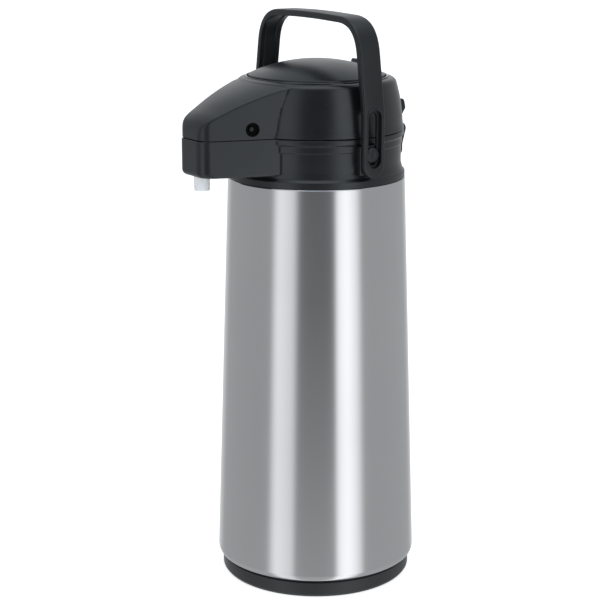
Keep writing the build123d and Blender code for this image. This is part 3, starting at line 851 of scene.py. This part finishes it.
def spout_tube():
    """The clear nozzle, a flanged tube under the spout housing."""
    profile = rounded(
        [
            (3.4, 269.5, 0.2), (5.0, 269.5, 0.45), (5.1, 282, 0.1), (5.9, 282, 0.2), (5.9, 283.4, 0.2),
            (3.6, 283.4, 0.1), (3.6, 278, 0.1), (3.4, 277.8, 0.1),
        ],
        5,
    )
    piece = lathe("nozzle_tube", profile, CLEAR, "pot", segments=96)
    piece.data.transform(Matrix.Translation((0, NOZZLE_Y * MM, 0)))
    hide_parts("nozzle")


def bellows():
    """The pump's folded rubber skin."""
    folds = 7
    step = (BELLOWS_TOP - PUMP_FLOOR) / (2 * folds)
    outer, inner = [], []
    for i in range(2 * folds + 1):
        r, soft = 36.0 - 5.0 * (i % 2), 0.6 if 0 < i < 2 * folds else 0
        outer.append((r, PUMP_FLOOR + step * i, soft))
        inner.append((r - 1.0, PUMP_FLOOR + step * i, soft))
    profile = rounded(outer, 3) + rounded(inner, 3)[::-1]
    piece = lathe("bellows_folds", profile, BELLOWS, "lid", segments=120, smooth_angle=60)
    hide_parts("bellows")
    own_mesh(piece)


def return_coil():
    """The button's return spring, a round-wire coil."""
    coil_r, wire_r, pitch, low, height = 22.0, 0.9, 4.8, 306.8, 26.0
    turns = height / pitch
    rounds, sides = int(48 * turns), 12
    verts = []
    for k in range(rounds + 1):
        a = 2 * math.pi * turns * k / rounds
        for i in range(sides):
            b = 2 * math.pi * i / sides
            r = coil_r + wire_r * math.cos(b)
            rise = height * k / rounds + wire_r * math.sin(b)
            verts.append((r * math.cos(a), r * math.sin(a), low + rise))
    faces = [tuple(range(sides))[::-1], tuple(range(rounds * sides, (rounds + 1) * sides))]
    for k in range(rounds):
        for i in range(sides):
            j = (i + 1) % sides
            faces.append((k * sides + i, k * sides + j, (k + 1) * sides + j, (k + 1) * sides + i))
    piece = mesh_object("return_coil", verts, faces, BRIGHT, "lid", 50)
    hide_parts("return_spring")
    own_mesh(piece)


def handle_line():
    """The bail's outer line in (x, z), from the near tail's centre to the far one's."""
    drop = BAIL_TOP - SHOULDER[1]
    top = [(x, BAIL_TOP - drop * (x / SHOULDER[0]) ** 2, 0) for x in (12, 8, 4, 0)]
    leg = [(BAIL_X, TAIL_Z, 0), (BAIL_X, 300, 0), (BAIL_X, 319, 60), (*SHOULDER, 26)]
    half = rounded(leg + top, 16)
    return half + [(-x, z) for x, z in half[-2::-1]]


def handle_section(half_width, edge, groove):
    """One cross-section as (across, depth) points: rounded outer edges, a shallow groove inside."""
    t = HANDLE_T
    w = half_width
    r = min(edge, 0.45 * w)
    inner = min(0.7, r)
    g = min(3.6, 0.5 * w)
    line = [
        (-w, 0, r), (w, 0, r), (w, -t, inner), (g + 0.8, -t, 0.2), (g, -t + groove, 0.3),
        (-g, -t + groove, 0.3), (-g - 0.8, -t, 0.2), (-w, -t, inner),
    ]
    closed = [(0, 0, 0)] + line[1:] + [line[0]]
    return rounded(closed + [(-0.01, 0, 0)], 4)


def bail():
    """The carrying bail, a swept strap with round tails and a slot for the pin in each leg."""
    path = handle_line()
    tail = [(BAIL_X, TAIL_Z - HANDLE_HALF * math.sin(a)) for a in np.radians(np.arange(88, 0, -8))]
    path = tail + path + [(-x, z) for x, z in tail[::-1]]
    p = np.array(path)
    along = np.gradient(p, axis=0)
    along /= np.linalg.norm(along, axis=1)[:, None]
    outward = np.stack([along[:, 1], -along[:, 0]], -1)
    verts = []
    count = None
    for (x, z), (nx, nz) in zip(p, outward):
        w = HANDLE_HALF
        if z < TAIL_Z:
            w = math.sqrt(max(HANDLE_HALF**2 - (TAIL_Z - z) ** 2, 0.01))
        groove = 0.9 * min(1, max(0, (z - 330) / 12))
        section = handle_section(w, 1.5, groove)
        verts += [(x + d * nx, y, z + d * nz) for y, d in section]
        count = len(section)
    faces = []
    for k in range(len(p) - 1):
        for i in range(count):
            j = (i + 1) % count
            faces.append((k * count + i, k * count + j, (k + 1) * count + j, (k + 1) * count + i))
    faces.append(tuple(range(count))[::-1])
    faces.append(tuple(range((len(p) - 1) * count, len(p) * count)))
    piece = mesh_object("bail", verts, faces, GRIP, "handle", 35)
    weld(piece)
    for side in (1, -1):
        x = sorted((side * 62.2, side * 70))
        line = slot_outline(SLOT_POCKET_HALF, SLOT_LOW, SLOT_HIGH)
        cut(piece, prism("pocket", line, "x", *x, 0.02, GRIP, "handle"))
        x = sorted((side * 55, side * 66))
        line = slot_outline(SLOT_HALF, SLOT_LOW, SLOT_HIGH)
        cut(piece, prism("through", line, "x", *x, 0.02, GRIP, "handle"))
        slot_rim(side)
    finish_mesh(piece, 35)
    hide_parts("handle")


def slot_rim(side):
    """The raised bead round the leg's slot."""
    rings = [
        (5.02, 64.2), (5.02, 65.1), (5.15, 65.3), (5.45, 65.4), (5.75, 65.3), (5.9, 65.1), (5.95, 64.6),
    ]
    verts = []
    count = None
    for half, x in rings:
        line = slot_outline(half, SLOT_LOW, SLOT_HIGH)
        verts += [(side * x, y, z) for y, z in line]
        count = len(line)
    faces = []
    for k in range(len(rings)):
        n = (k + 1) % len(rings)
        for i in range(count):
            j = (i + 1) % count
            faces.append((k * count + i, k * count + j, n * count + j, n * count + i))
    piece = mesh_object("slot_rim_" + ("left" if side > 0 else "right"), verts, faces, GRIP, "handle", 50)


def pin(side):
    """Handle pin: shank and a low domed head with a small dimple."""
    name = "left" if side > 0 else "right"
    profile = rounded(
        [
            (AXIS_R, 45.6, 0), (2.6, 45.6, 0.2), (3.0, 46.1, 0.2), (3.0, 62.45, 0.05), (4.85, 62.45, 0.2),
            (4.85, 63.3, 0.5), (3.9, 63.85, 0.8), (1.6, 64.0, 0.4), (1.1, 63.75, 0.3), (AXIS_R, 63.7, 0),
        ],
        5,
    )
    piece = lathe("pin_" + name, profile, BUTTON, "handle_pins", segments=72)
    turn = Matrix.Rotation(side * math.pi / 2, 4, "Y")
    piece.data.transform(Matrix.Translation((0, 0, PIN_Z * MM)) @ turn)
    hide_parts("handle_pin_" + name)


def latch_stud(side):
    """A latch's stud in its hole in the lid, with the sleeve round it and the post behind it; the sleeve's
    wall and floor are near-black, painted shade inside the hole.
    """
    name = "left" if side > 0 else "right"
    outward = Vector((side * SIDE_NORMAL.x, SIDE_NORMAL.y, 0))
    facing = outward.to_track_quat("Z", "Y").to_matrix().to_4x4()
    place = Matrix.Translation(Vector((side * LATCH[0], LATCH[1], LATCH[2])) * MM) @ facing
    profile = rounded(
        [
            (AXIS_R, -9.0, 0), (3.3, -9.0, 0.2), (3.3, -5.2, 0.4), (1.9, -5.0, 0.2), (1.9, -2.3, 1.4),
            (AXIS_R, -1.6, 0),
        ],
        8,
    )
    stud = lathe("latch_stud_" + name, profile, GLOSS, "latch_" + name, segments=72)
    stud.data.transform(place)
    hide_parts("latch_button_" + name)
    corners = [(-1.9, -4.0), (1.9, -4.0), (1.9, 4.0), (-1.9, 4.0)]
    centre = Vector((side * LATCH[0], LATCH[1], 0)) - LATCH_REACH * outward
    along = Vector((-outward.y, outward.x, 0))
    outline = [tuple((centre + u * outward + v * along).xy) for u, v in corners]
    post = prism("latch_post_" + name, outline, "z", 284, 314, 0.5, GLOSS, "latch_" + name)
    # the sleeve lines the hole's wall and floor in near-black matte, painted shade where the hole is dark
    wall = rounded(
        [
            (4.46, -0.3, 0), (4.46, -4.4, 0), (2.0, -4.4, 0), (2.0, -3.6, 0.2), (3.9, -3.4, 1.4),
            (4.1, -0.5, 0),
        ],
        6,
    )
    sleeve = lathe("latch_shade_sleeve_" + name, wall, HOLE_SHADE, "lid", segments=72)
    sleeve.data.transform(place)


# ------------------------------------------------------------------ stage
CAMERA_AZIMUTH = math.radians(56.0)
CAMERA_DISTANCE = 1.098
CAMERA_HEIGHT = 0.460
CAMERA_PITCH = math.radians(14.0)
CAMERA_YAW = math.radians(-0.56)
CAMERA_LENS = 101.4


def camera():
    data = bpy.data.cameras.new("camera")
    data.lens = CAMERA_LENS
    data.sensor_width = 36.0
    data.clip_start = 0.05
    data.clip_end = 20
    eye = bpy.data.objects.new("camera", data)
    bpy.context.scene.collection.objects.link(eye)
    s, c = math.sin(CAMERA_AZIMUTH), math.cos(CAMERA_AZIMUTH)
    eye.location = (CAMERA_DISTANCE * s, -CAMERA_DISTANCE * c, CAMERA_HEIGHT)
    ahead = Vector((-s, c, 0))
    right = Vector((c, s, 0))
    level = ahead * math.cos(CAMERA_YAW) + right * math.sin(CAMERA_YAW)
    look = level * math.cos(CAMERA_PITCH) - Vector((0, 0, math.sin(CAMERA_PITCH)))
    eye.rotation_mode = "QUATERNION"
    eye.rotation_quaternion = look.to_track_quat("-Z", "Y")
    bpy.context.scene.camera = eye


# brightness of the studio round the pot, by degrees from the light side's middle
STUDIO = [
    (-180, 0.95), (-160, 0.75), (-140, 0.47), (-58, 0.43), (-53, 0.90), (-48, 1.22), (-28, 0.95),
    (-20, 0.14), (0, 0.11), (22, 0.13), (27, 1.40), (40, 1.60), (52, 1.15), (60, 0.45), (145, 0.48),
    (165, 0.75), (180, 0.95),
]
STUDIO_PEAK = 1.7
OVERHEAD = (0.46, 0.53, 0.59, 1)
WORLD_TINT = (0.985, 1.0, 1.02, 1)
FLOOR_HALF = 40.0


def studio_world():
    """Tall softboxes either side, pale room behind, darker in front, lighter low down and overhead."""
    world = bpy.data.worlds.new("studio")
    bpy.context.scene.world = world
    world.use_nodes = True
    tree = world.node_tree
    back = tree.nodes["Background"]
    place = add(tree, "ShaderNodeTexCoord")
    turn = add(tree, "ShaderNodeMapping", vector_type="TEXTURE")
    turn.inputs["Rotation"].default_value = (0, 0, CAMERA_AZIMUTH - math.pi / 2)
    tree.links.new(place.outputs["Generated"], turn.inputs["Vector"])
    split = add(tree, "ShaderNodeSeparateXYZ")
    tree.links.new(turn.outputs["Vector"], split.inputs[0])
    angle = add(tree, "ShaderNodeMath", operation="ARCTAN2")
    tree.links.new(split.outputs["Y"], angle.inputs[0])
    tree.links.new(split.outputs["X"], angle.inputs[1])
    part = spread(tree, angle.outputs[0], 0, 1, -math.pi, math.pi)
    ramp = add(tree, "ShaderNodeValToRGB")
    ramp.color_ramp.interpolation = "LINEAR"
    while len(ramp.color_ramp.elements) < len(STUDIO):
        ramp.color_ramp.elements.new(0.5)
    for element, (degrees, level) in zip(ramp.color_ramp.elements, STUDIO):
        element.position = (degrees + 180) / 360
        element.color = (level / STUDIO_PEAK,) * 3 + (1,)
    tree.links.new(part, ramp.inputs[0])
    level = add(tree, "ShaderNodeMath", operation="MULTIPLY")
    level.inputs[1].default_value = STUDIO_PEAK
    tree.links.new(ramp.outputs[0], level.inputs[0])
    low = spread(tree, split.outputs["Z"], 0.50, 0.13, -0.42, -0.12)
    lifted = add(tree, "ShaderNodeMath", operation="MAXIMUM")
    tree.links.new(level.outputs[0], lifted.inputs[0])
    tree.links.new(low, lifted.inputs[1])
    high = spread(tree, split.outputs["Z"], 0.0, 1.0, 0.45, 0.85)
    blend = add(tree, "ShaderNodeMix", data_type="RGBA")
    tree.links.new(high, blend.inputs[0])
    tree.links.new(lifted.outputs[0], blend.inputs[6])
    blend.inputs[7].default_value = OVERHEAD
    tint = add(tree, "ShaderNodeMix", data_type="RGBA", blend_type="MULTIPLY")
    tint.inputs[0].default_value = 1.0
    tint.inputs[7].default_value = WORLD_TINT
    tree.links.new(blend.outputs[2], tint.inputs[6])
    tree.links.new(tint.outputs[2], back.inputs["Color"])


def area_light(name, place, aim, size, power):
    data = bpy.data.lights.new(name, "AREA")
    data.shape = "RECTANGLE"
    data.size, data.size_y = size
    data.energy = power
    lamp = bpy.data.objects.new(name, data)
    bpy.context.scene.collection.objects.link(lamp)
    lamp.location = place
    lamp.rotation_mode = "QUATERNION"
    lamp.rotation_quaternion = (Vector(aim) - Vector(place)).to_track_quat("-Z", "Y")


def studio():
    """A wide pale floor, the studio world and one soft light overhead."""
    mesh = bpy.data.meshes.new("floor")
    h = FLOOR_HALF
    mesh.from_pydata([(-h, -h, 0), (h, -h, 0), (h, h, 0), (-h, h, 0)], [], [(0, 1, 2, 3)])
    floor = bpy.data.objects.new("floor", mesh)
    bpy.context.scene.collection.objects.link(floor)
    floor.location.z = -0.0002
    material, tree, surface = shader("pale_floor")
    cloud = noise(tree, 3, 2)
    pale = two_colours(tree, cloud, (0.93, 0.93, 0.93), (0.95, 0.95, 0.95))
    tree.links.new(pale, surface.inputs["Base Color"])
    surface.inputs["Roughness"].default_value = 0.8
    surface.inputs["Emission Color"].default_value = (1, 1, 1, 1)
    surface.inputs["Emission Strength"].default_value = 0.68
    mesh.materials.append(material)
    floor.visible_glossy = False
    studio_world()
    area_light("overhead", (0.2, -0.1, 1.5), (0, 0, 0.3), (1.3, 1.3), 5.5)
    scene = bpy.context.scene
    scene.view_settings.view_transform = "Standard"
    scene.view_settings.look = "None"
    scene.view_settings.exposure = 0.0


dress_cad_nodes()
steel_shell()
foot()
lid()
collar()
bezel()
button()
lock_tab()
spout_tube()
bellows()
return_coil()
bail()
pin(1)
pin(-1)
latch_stud(1)
latch_stud(-1)
camera()
studio()
